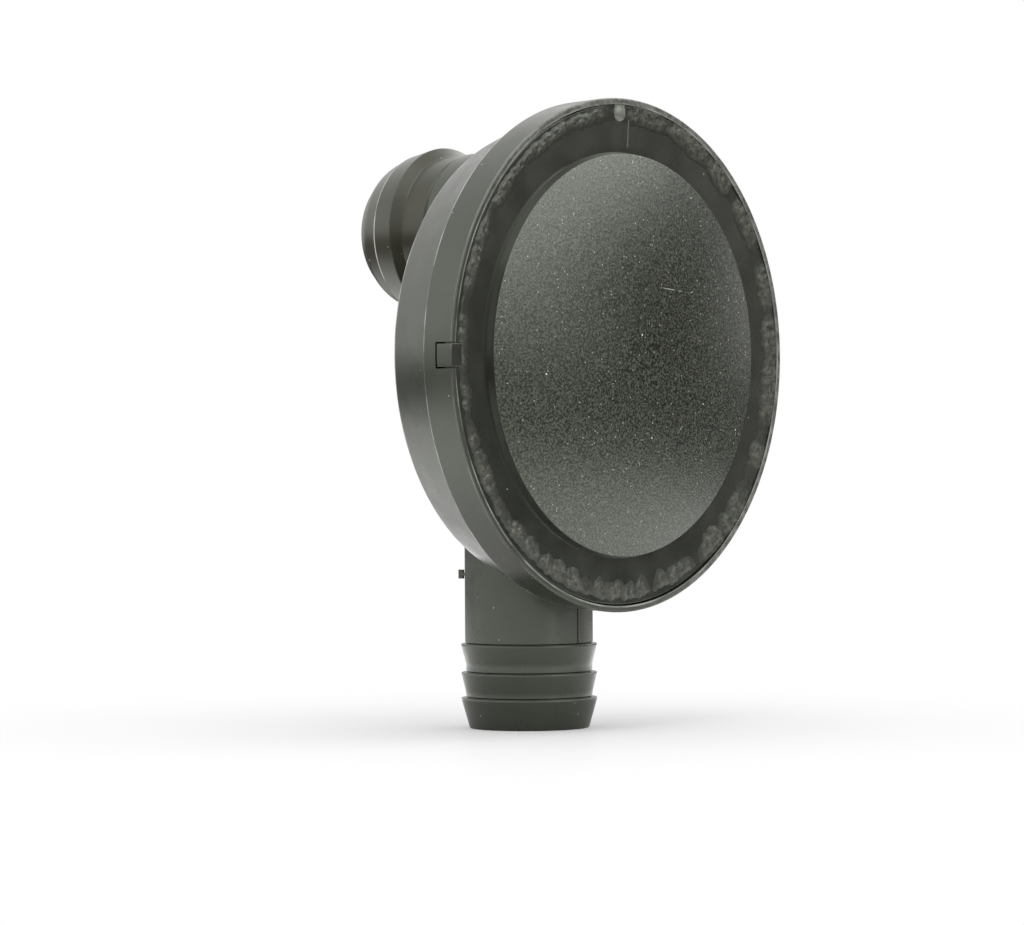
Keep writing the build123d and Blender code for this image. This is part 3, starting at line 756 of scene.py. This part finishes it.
def rib(index):
    """A radial rib below the dome, from inside its wall to a flat end."""
    steps = 10
    end = DOME_EDGE + DOME_WALL
    start = end - 0.3 * MM
    edge = DOME_RADIUS - DOME_STEP_RUN
    half = RIB_WIDTH / 2
    vertices = []
    for step in range(steps + 1):
        radius = RIB_INNER + (RIB_OUTER - RIB_INNER) * step / steps
        top = dome_depth(radius, edge, start)
        for depth in (top, end):
            for side in (-half, half):
                vertices.append((radius, RIM_Y + depth, side))
    faces = [(0, 1, 3, 2), (4 * steps, 4 * steps + 2, 4 * steps + 3, 4 * steps + 1)]
    for step in range(steps):
        here, there = 4 * step, 4 * step + 4
        for one, two in ((0, 1), (1, 3), (3, 2), (2, 0)):
            faces.append((here + one, here + two, there + two, there + one))
    made = face_outward(mesh_object("rib", vertices, faces))
    return on_disc(made, 360 / RIB_COUNT * index)


def cover():
    rows = 22
    outer_radii = [DOME_RADIUS * 0.996 * index / rows for index in range(rows + 1)]
    inside_edge = DOME_RADIUS - DOME_STEP_RUN
    inside_depth = DOME_EDGE + DOME_WALL
    ring_out = STOP_RING_RADIUS + STOP_RING_WIDTH / 2
    ring_in = STOP_RING_RADIUS - STOP_RING_WIDTH / 2
    far = [inside_edge * share for share in (0.97, 0.9, 0.83)]
    near = [ring_in * share for share in (0.9, 0.75, 0.6, 0.45, 0.3, 0.15, 0)]
    outline = dome_row(DOME_RADIUS, DOME_EDGE, outer_radii)
    outline += rounded(
        [
            outline[-1],
            (DOME_RADIUS, DOME_EDGE, 0.1 * MM),
            (DOME_RADIUS + DOME_STEP_RUN, FLANGE_RECESS),
            (COVER_RADIUS, FLANGE_RECESS, 0.2 * MM),
            (COVER_RADIUS, FLANGE_BACK),
            (DOME_RADIUS, FLANGE_BACK),
            (inside_edge, inside_depth),
        ]
    )[1:]
    outline += dome_row(inside_edge, inside_depth, far + [ring_out])
    outline += [(ring_out, STOP_RING_END), (ring_in, STOP_RING_END)]
    outline += dome_row(inside_edge, inside_depth, [ring_in] + near)
    made = lathe("cover", outline, DISC_CENTRE)
    for index in range(RIB_COUNT):
        combine(made, "UNION", rib(index))
    front, back = FLANGE_BACK - VENT_HEIGHT, FLANGE_BACK + MM
    vent = radial_bar("vent", VENT_INNER_RADIUS, COVER_RADIUS + MM, VENT_WIDTH, front, back, VENT_ANGLE)
    combine(made, "DIFFERENCE", vent)
    return made


def cover_tab():
    """Locating tab, flush with the side wall, with its softened edges."""
    key_radius = GROOVE_OUTER + 0.15 * MM
    outline = (
        (TAB_FACE_RADIUS, -MM),
        (RIM_RADIUS + MM, -MM),
        (RIM_RADIUS + MM, TAB_DEPTH),
        (key_radius, TAB_DEPTH),
        (key_radius, FLANGE_BACK),
        (TAB_FACE_RADIUS, FLANGE_BACK),
    )
    count = len(outline)
    half = TAB_WIDTH / 2
    vertices = [(radius, RIM_Y + depth, side) for side in (-half, half) for radius, depth in outline]
    faces = [tuple(range(count)), tuple(range(count, 2 * count))]
    for index in range(count):
        after = (index + 1) % count
        faces.append((index, after, after + count, index + count))
    tab = on_disc(face_outward(mesh_object("cover_tab", vertices, faces)), TAB_ANGLE)
    wall_outline = [(0, 0), (RIM_RADIUS, 0), (BAND_END_RADIUS, BAND_DEPTH), (0, BAND_DEPTH)]
    wall = lathe("wall", wall_outline, DISC_CENTRE)
    combine(tab, "INTERSECT", wall)
    return soften_edges(tab, 0.12 * MM, 40)


def cover_pip():
    """Crowned peg at twelve o'clock with a rounded inner end."""
    half = PIP_WIDTH / 2
    outer = LIP_RADIUS - 0.02 * MM
    inner = outer - PIP_LENGTH
    steps = 8
    outline = []
    for step in range(steps + 1):
        angle = step / steps * pi / 2
        outline.append((half * sin(angle), inner + half * (1 - cos(angle))))
    outline += [(half, outer - 0.7 * MM), (0.86 * half, outer - 0.4 * MM), (0.94 * half, outer), (0, outer)]
    made = lathe("cover_pip", outline, DISC_CENTRE, upright=True, steps=48)
    for vertex in made.data.vertices:
        vertex.co.y = RIM_Y + PIP_DEPTH + (vertex.co.y - RIM_Y) * PIP_FLATNESS
    return made


def flow_line():
    """Fine raised line on the flange beside the pip."""
    front = FLANGE_RECESS - 0.07 * MM
    inner, outer = FLOW_LINE_ENDS
    return radial_bar("flow_line", inner, outer, FLOW_LINE_WIDTH, front, FLANGE_BACK, FLOW_LINE_ANGLE)


# Bead
def step_up(start, end, value):
    share = max(0.0, min(1.0, (value - start) / (end - start)))
    return share * share * (3 - 2 * share)


def bead_side(angle):
    """Share of the bead that has flowed out to the lip: all of it on the right and none on the left."""
    return step_up(-0.1, 0.45, cos(angle - radians(25)))


def bead_height(angle, share):
    """Height of the melted bead above the flange; share runs from its outer to its inner edge."""
    low_side = step_up(-0.3, 0.9, -sin(angle))
    flowed = bead_side(angle)
    around = Vector((cos(angle), sin(angle), 0))
    wave = noise.noise(around * 17)
    patch = noise.noise(around * 7 + Vector((0, 0, 3)))
    lumps = noise.noise(around * 34 + Vector((0, 0, share * 2.2)))
    streak = noise.noise(around * 62 + Vector((0, 0, share * 1.5)))
    fine = noise.noise(around * 110 + Vector((0, 0, share * 9)))
    start = 0.1 * (1 - flowed)
    rise = max(flowed, step_up(start, start + 0.24, share + 0.1 * lumps))
    tongues = low_side * (0.34 * wave + 0.07 * streak) + 0.25 * patch
    fall = 1 - step_up(0.45, 0.92, share - tongues + 0.12 * lumps)
    gaps = 1 - low_side * step_up(0.05, 0.5, -wave) * 0.8
    clear_of_pip = step_up(radians(2), radians(8), abs(angle - pi / 2))
    gaps *= (0.3 + 0.7 * step_up(-0.35, 0.1, patch)) * (0.25 + 0.75 * clear_of_pip)
    rough = 0.45 * lumps + 0.22 * streak + 0.3 * fine
    return max(0.0, rise * fall * gaps * (0.62 + 0.25 * flowed + rough * (1 - 0.45 * flowed)))


def bead():
    vertices = []
    faces = []
    for turn in range(BEAD_TURN_STEPS):
        angle = 2 * pi * turn / BEAD_TURN_STEPS
        low_side = (1 - sin(angle)) / 2
        inner = BEAD_INNER - 0.9 * MM * low_side**2
        outer = BEAD_OUTER + (LIP_RADIUS - 0.02 * MM - BEAD_OUTER) * bead_side(angle)
        for row in range(BEAD_ROWS):
            share = row / (BEAD_ROWS - 1)
            radius = outer + (inner - outer) * share
            depth = FLANGE_RECESS + 0.02 * MM - BEAD_HEIGHT * bead_height(angle, share)
            vertices.append(disc_point(radius, max(depth, 0.03 * MM), angle))
        for radius in (inner, outer):
            vertices.append(disc_point(radius, FLANGE_RECESS + 0.06 * MM, angle))
    stride = BEAD_ROWS + 2
    for turn in range(BEAD_TURN_STEPS):
        here, there = turn * stride, (turn + 1) % BEAD_TURN_STEPS * stride
        for row in range(stride):
            after = (row + 1) % stride
            faces.append((here + row, here + after, there + after, there + row))
    made = face_outward(mesh_object("melted_bead", vertices, faces))
    width = TAB_WIDTH + 0.2 * MM
    cut = radial_bar("cut", TAB_FACE_RADIUS - 0.1 * MM, RIM_RADIUS, width, -MM, FLANGE_BACK, TAB_ANGLE)
    pip_inner = LIP_RADIUS - 0.8 * PIP_LENGTH
    pip_cut = radial_bar("pip_cut", pip_inner, RIM_RADIUS, 0.9 * PIP_WIDTH, -MM, FLANGE_BACK, 90)
    return combine(made, "DIFFERENCE", cut, pip_cut)


# Grommet
def grommet():
    bore = STUB_RADIUS + GROMMET_FIT
    start = GROMMET_FIT
    neck_end = start + NECK_LENGTH
    head = neck_end + HEAD_SHOULDER
    band = head + HEAD_BAND_LENGTH
    nose = band + NOSE_LENGTH
    bead_front = STUB_BEAD_PLACE - GROMMET_FIT
    bead_back = STUB_BEAD_PLACE + STUB_BEAD_LENGTH + GROMMET_FIT
    bulge = ((HEAD_BAND_RADIUS + NOSE_RADIUS) / 2 + 0.45 * MM, (band + nose) / 2 + 0.3 * MM)
    outline = rounded(
        [
            (bore, start),
            (NECK_RADIUS - NECK_CHAMFER, start),
            (NECK_RADIUS, start + NECK_CHAMFER, 0.2 * MM),
            (NECK_RADIUS, neck_end, 0.4 * MM),
            (HEAD_RADIUS, head, 0.2 * MM),
            (HEAD_BAND_RADIUS + 0.04 * MM, band - 0.1 * MM, 0.05 * MM),
            (HEAD_BAND_RADIUS + 0.02 * MM, band + 0.1 * MM, 0.05 * MM),
            (*bulge, 6 * MM),
            (NOSE_RADIUS, nose, 0.9 * MM),
            (bore, nose),
            (bore, bead_back),
            (bore + STUB_BEAD_HEIGHT, bead_front),
            (bore, bead_front),
        ],
        6,
    )
    return lathe("grommet", outline, PORT_CENTRE)


# Diaphragm in three pieces: its bead, its middle and its fold in sectors
FOLD_CENTRE = 31.25 * MM
FOLD_RADIUS = 2.75 * MM
WEB_THICKNESS = 0.9 * MM
WEB_FRONT = 3.33 * MM
FOLD_SECTORS = 16
RIVET_HOLE = 1.55 * MM


def diaphragm_bead():
    half_gap = 0.05 * MM
    outline = [
        (34.0 * MM + half_gap, WEB_FRONT),
        (GROOVE_INNER + half_gap, WEB_FRONT),
        (GROOVE_INNER + half_gap, FLANGE_BACK + half_gap),
        (GROOVE_OUTER - half_gap, FLANGE_BACK + half_gap),
        (GROOVE_OUTER - half_gap, GROOVE_FLOOR - half_gap),
        (GROOVE_INNER + half_gap, GROOVE_FLOOR - half_gap),
        (GROOVE_INNER + half_gap, WEB_FRONT + WEB_THICKNESS),
        (34.0 * MM + half_gap, WEB_FRONT + WEB_THICKNESS),
    ]
    return lathe("diaphragm_bead", outline, DISC_CENTRE)


def diaphragm_middle():
    back = WEB_FRONT + WEB_THICKNESS
    edge = FOLD_CENTRE - FOLD_RADIUS
    outline = [(RIVET_HOLE, WEB_FRONT), (edge, WEB_FRONT), (edge, back), (RIVET_HOLE, back)]
    return lathe("diaphragm_middle", outline, DISC_CENTRE)


def fold_outline():
    """Half-round fold between the middle and the bead, as (radius, depth)."""
    steps = 14
    inside = FOLD_RADIUS - WEB_THICKNESS
    inner = []
    for k in range(steps + 1):
        turn = pi * k / steps
        inner.append((FOLD_CENTRE - inside * cos(turn), WEB_FRONT + inside * sin(turn)))
    start = atan2(WEB_THICKNESS, sqrt(FOLD_RADIUS**2 - WEB_THICKNESS**2))
    outer = []
    for k in range(steps + 1):
        turn = start + (pi - 2 * start) * k / steps
        outer.append((FOLD_CENTRE + FOLD_RADIUS * cos(turn), WEB_FRONT + FOLD_RADIUS * sin(turn)))
    edge_in = FOLD_CENTRE - FOLD_RADIUS
    edge_out = 34.0 * MM + 0.05 * MM
    back = WEB_FRONT + WEB_THICKNESS
    front_side = [(edge_in, WEB_FRONT)] + inner + [(edge_out, WEB_FRONT)]
    return front_side + [(edge_out, back)] + outer + [(edge_in, back)]


def fold_sector(index):
    outline = fold_outline()
    steps = 12
    width = 2 * pi / FOLD_SECTORS
    vertices = []
    for step in range(steps + 1):
        angle = width * (index - 0.5 + step / steps)
        for radius, depth in outline:
            vertices.append(disc_point(radius, depth, angle))
    count = len(outline)
    faces = [tuple(range(count)), tuple(range(steps * count, (steps + 1) * count))]
    for step in range(steps):
        for k in range(count):
            after = (k + 1) % count
            here, there = step * count, (step + 1) * count
            faces.append((here + k, here + after, there + after, there + k))
    made = face_outward(mesh_object(f"diaphragm_fold_{index}", vertices, faces))
    paint(made, diaphragm_rubber)
    made.data.shade_smooth()
    made.data.set_sharp_from_angle(angle=radians(40))
    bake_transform(made)
    return made


# Spring
WIRE_RADIUS = 0.35 * MM
SPRING_RADIUS = 4.9 * MM
SPRING_TURNS = 7.0


def spring():
    """Helix with closed ends, cut flat by keeping the wire within its two end planes."""
    start, end = spring_low[1] + WIRE_RADIUS, spring_high[1] - WIRE_RADIUS
    steps = 40
    around = 12
    total = int(SPRING_TURNS * steps)
    vertices = []
    faces = []
    for step in range(total + 1):
        angle = 2 * pi * step / steps
        out = Vector((cos(angle), 0, sin(angle)))
        middle = Vector((0, start + (end - start) * step / total, DISC_HEIGHT)) + out * SPRING_RADIUS
        for part in range(around):
            turn = 2 * pi * part / around
            skin = middle + out * (WIRE_RADIUS * cos(turn))
            vertices.append(skin + Vector((0, WIRE_RADIUS * sin(turn), 0)))
    for step in range(total):
        for part in range(around):
            after = (part + 1) % around
            here, there = step * around, (step + 1) * around
            faces.append((here + part, here + after, there + after, there + part))
    faces.append(tuple(range(around)))
    faces.append(tuple(range(total * around, (total + 1) * around)))
    return face_outward(mesh_object("spring", vertices, faces))


# Build and fix each piece
housing_piece = soften_edges(housing(), 0.1 * MM, 55)
paint(flatten_strips(smooth(housing_piece)), housing_plastic)
finish_piece(housing_piece, "housing", "housing_plastic", "valve_housing")

cover_piece = smooth(cover())
paint(cover_piece, cover_plastic, dome_plastic)
for polygon in cover_piece.data.polygons:
    centre = polygon.center - DISC_CENTRE
    if centre.y < DOME_EDGE + 0.02 * MM and polygon.normal.y < -0.8:
        polygon.material_index = 1
finish_piece(cover_piece, "housing", "cover_plastic", "front_cover")

tab_piece = cover_tab()
cover_extras = ((tab_piece, housing_plastic), (cover_pip(), painted_highlight_plastic), (flow_line(), painted_highlight_plastic))
for extra, material in cover_extras:
    paint(smooth(extra), material, cover_plastic)
    finish_piece(extra, "housing", "cover_plastic")
# Painted light and shade by facing: the tab's front faces take the darker cover plastic, its others the
# lighter housing plastic
for polygon in tab_piece.data.polygons:
    if polygon.normal.y < -0.9:
        polygon.material_index = 1

bead_piece = bead()
bead_piece.data.shade_smooth()
paint(bead_piece, bead_plastic)
finish_piece(bead_piece, "housing", "bead_plastic", "closing_bead")

grommet_piece = paint(smooth(grommet()), grommet_rubber)
finish_piece(grommet_piece, "housing", "grommet_rubber", "inlet_grommet")

finish_piece(paint(smooth(diaphragm_bead()), diaphragm_rubber), "housing", "diaphragm_rubber", "diaphragm")
finish_piece(paint(smooth(diaphragm_middle()), diaphragm_rubber), "regulator", "diaphragm_rubber")
for sector in range(FOLD_SECTORS):
    fold_sector(sector)

spring_piece = paint(smooth(spring()), spring_steel)
finish_piece(spring_piece, "housing", "spring_steel", "regulating_spring")
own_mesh(spring_piece)

frame_materials = {"support_plate": plate_plastic, "spring_cup": cup_steel, "centre_rivet": rivet_brass}
for node, material in frame_materials.items():
    for place in frame["nodes"][node].material_slots:
        place.material = material


# Floor, light and camera
# Each glow of the studio: its direction, how near to it the glow starts and is full (as a cosine),
# its two levels, and how it joins the glows before it
GLOWS = (
    ((-0.3, 0, 1), -0.01, 0.07, 0.04, 3.2, "ADD"),
    ((-1, 0, 0), 0.0, 0.35, 3.2, 1.4, "MINIMUM"),
    ((0, 0, 1), 0.45, 0.8, 3.2, 1.5, "MINIMUM"),
    ((0, 1, 0), 0.15, 0.6, 3.2, 1.2, "MINIMUM"),
    ((0, 1, 0), 0.1, 0.8, 0.0, 0.75, "MAXIMUM"),
    ((-0.75, 0.66, 0), 0.5, 0.88, 0.0, 1.6, "MAXIMUM"),
    ((1, -0.1, 0), 0.93, 1.0, 0.0, 0.9, "MAXIMUM"),
    ((0.45, -0.89, 0), 0.93, 0.985, 0.0, 1.1, "MAXIMUM"),
)
TABLE_RADIUS = 0.15
TABLE_PALE = 0.95
TABLE_DARK = 0.08
# Painted shadow on the table near the valve's foot, seen in reflections and bounced light
FOOT_SHADOW_LEVEL = 0.45
FOOT_SHADOW_REACH = (0.018, 0.075)
SHADOW_REACH = (0.03, 0.135)


def camera():
    forward = Vector((-sin(CAMERA_YAW), cos(CAMERA_YAW), 0))
    right = Vector((cos(CAMERA_YAW), sin(CAMERA_YAW), 0))
    level = Matrix((right, Vector((0, 0, -1)), forward))
    turn = Matrix.Rotation(CAMERA_ROLL, 3, "Z") @ Matrix.Rotation(CAMERA_PITCH, 3, "X") @ level
    place = DISC_CENTRE - turn.transposed() @ DISC_FROM_CAMERA
    data = bpy.data.cameras.new("camera")
    data.sensor_fit = "HORIZONTAL"
    data.sensor_width = SENSOR_WIDTH
    data.lens = SENSOR_WIDTH * FOCAL_PIXELS / IMAGE_WIDTH
    data.clip_end = 20
    made = bpy.data.objects.new("camera", data)
    bpy.context.collection.objects.link(made)
    axes = Matrix((turn[0], -turn[1], -turn[2])).transposed()
    made.matrix_world = Matrix.Translation(place) @ axes.to_4x4()
    bpy.context.scene.camera = made


def lamp(name, place, target, size, power):
    data = bpy.data.lights.new(name, "AREA")
    data.shape = "RECTANGLE"
    data.size = size[0]
    data.size_y = size[1]
    data.energy = power
    made = bpy.data.objects.new(name, data)
    bpy.context.collection.objects.link(made)
    made.location = place
    made.rotation_euler = (Vector(target) - Vector(place)).to_track_quat("-Z", "Y").to_euler()


def world():
    """White studio beside, behind and above the valve, a dark room in front, plain white to the camera."""
    made = bpy.data.worlds.new("studio")
    made.use_nodes = True
    tree = made.node_tree
    tree.nodes.clear()
    way = tree.nodes.new("ShaderNodeTexCoord")
    total = None
    for axis, start, full, dark, bright, operation in GLOWS:
        toward = tree.nodes.new("ShaderNodeVectorMath")
        toward.operation = "DOT_PRODUCT"
        tree.links.new(way.outputs["Generated"], toward.inputs[0])
        toward.inputs[1].default_value = Vector(axis).normalized()
        ramp = tree.nodes.new("ShaderNodeMapRange")
        ramp.interpolation_type = "SMOOTHSTEP"
        ramp.inputs["From Min"].default_value = start
        ramp.inputs["From Max"].default_value = full
        ramp.inputs["To Min"].default_value = dark
        ramp.inputs["To Max"].default_value = bright
        tree.links.new(toward.outputs["Value"], ramp.inputs["Value"])
        joined = tree.nodes.new("ShaderNodeMath")
        joined.operation = operation
        joined.inputs[1].default_value = 0
        tree.links.new(ramp.outputs["Result"], joined.inputs[0])
        if total:
            tree.links.new(total, joined.inputs[1])
        total = joined.outputs[0]
    seen = tree.nodes.new("ShaderNodeLightPath")
    pick = tree.nodes.new("ShaderNodeMix")
    tree.links.new(seen.outputs["Is Camera Ray"], pick.inputs[0])
    tree.links.new(total, pick.inputs[2])
    pick.inputs[3].default_value = 1.0
    light = tree.nodes.new("ShaderNodeBackground")
    light.inputs["Color"].default_value = (1, 1, 1, 1)
    tree.links.new(pick.outputs[0], light.inputs["Strength"])
    out = tree.nodes.new("ShaderNodeOutputWorld")
    tree.links.new(light.outputs[0], out.inputs["Surface"])
    bpy.context.scene.world = made


def floor():
    """A table top: pale in reflections, with a painted shadow at the valve's foot, and dark past its edge.

    To the camera it is white, with the valve's shadow near its foot.
    """
    reach = 6.0
    corners = [(-reach, -reach, 0), (reach, -reach, 0), (reach, reach, 0), (-reach, reach, 0)]
    made = mesh_object("floor", corners, [(0, 1, 2, 3)])
    material = bpy.data.materials.new("floor")
    material.use_nodes = True
    tree = material.node_tree
    tree.nodes.clear()
    place = tree.nodes.new("ShaderNodeTexCoord")
    away = tree.nodes.new("ShaderNodeVectorMath")
    away.operation = "LENGTH"
    tree.links.new(place.outputs["Object"], away.inputs[0])
    fade = tree.nodes.new("ShaderNodeMapRange")
    fade.inputs["From Min"].default_value = TABLE_RADIUS
    fade.inputs["From Max"].default_value = TABLE_RADIUS * 2
    fade.inputs["To Min"].default_value = TABLE_PALE
    fade.inputs["To Max"].default_value = TABLE_DARK
    tree.links.new(away.outputs["Value"], fade.inputs["Value"])
    # Painted shadow: the table is painted darker near the valve's foot
    foot = tree.nodes.new("ShaderNodeMapRange")
    foot.inputs["From Min"].default_value = FOOT_SHADOW_REACH[0]
    foot.inputs["From Max"].default_value = FOOT_SHADOW_REACH[1]
    foot.inputs["To Min"].default_value = FOOT_SHADOW_LEVEL
    tree.links.new(away.outputs["Value"], foot.inputs["Value"])
    dimmed = tree.nodes.new("ShaderNodeMath")
    dimmed.operation = "MULTIPLY"
    tree.links.new(fade.outputs["Result"], dimmed.inputs[0])
    tree.links.new(foot.outputs["Result"], dimmed.inputs[1])
    table = tree.nodes.new("ShaderNodeBsdfDiffuse")
    tree.links.new(dimmed.outputs[0], table.inputs["Color"])
    matt = tree.nodes.new("ShaderNodeBsdfDiffuse")
    matt.inputs["Color"].default_value = (0.55, 0.55, 0.55, 1)
    shine = tree.nodes.new("ShaderNodeBsdfGlossy")
    shine.inputs["Roughness"].default_value = 0.25
    shine.inputs["Color"].default_value = (1, 1, 1, 1)
    white = tree.nodes.new("ShaderNodeEmission")
    white.inputs["Color"].default_value = (1, 1, 1, 1)
    seen = tree.nodes.new("ShaderNodeLightPath")
    lit = tree.nodes.new("ShaderNodeMixShader")
    lit.inputs[0].default_value = 0.8
    tree.links.new(white.outputs[0], lit.inputs[1])
    tree.links.new(matt.outputs[0], lit.inputs[2])
    sheen = tree.nodes.new("ShaderNodeMixShader")
    sheen.inputs[0].default_value = 0.06
    tree.links.new(lit.outputs[0], sheen.inputs[1])
    tree.links.new(shine.outputs[0], sheen.inputs[2])
    clear = tree.nodes.new("ShaderNodeMapRange")
    clear.interpolation_type = "SMOOTHSTEP"
    clear.inputs["From Min"].default_value = SHADOW_REACH[0]
    clear.inputs["From Max"].default_value = SHADOW_REACH[1]
    tree.links.new(away.outputs["Value"], clear.inputs["Value"])
    shown = tree.nodes.new("ShaderNodeMixShader")
    tree.links.new(clear.outputs["Result"], shown.inputs[0])
    tree.links.new(sheen.outputs[0], shown.inputs[1])
    tree.links.new(white.outputs[0], shown.inputs[2])
    pick = tree.nodes.new("ShaderNodeMixShader")
    tree.links.new(seen.outputs["Is Camera Ray"], pick.inputs[0])
    tree.links.new(table.outputs[0], pick.inputs[1])
    tree.links.new(shown.outputs[0], pick.inputs[2])
    out = tree.nodes.new("ShaderNodeOutputMaterial")
    tree.links.new(pick.outputs[0], out.inputs["Surface"])
    made.data.materials.append(material)


camera()
world()
floor()
lamp("top_light", (-0.25, -0.1, 0.7), (0, 0, 0.05), (0.6, 0.6), 2)
bpy.context.scene.view_settings.view_transform = "Standard"
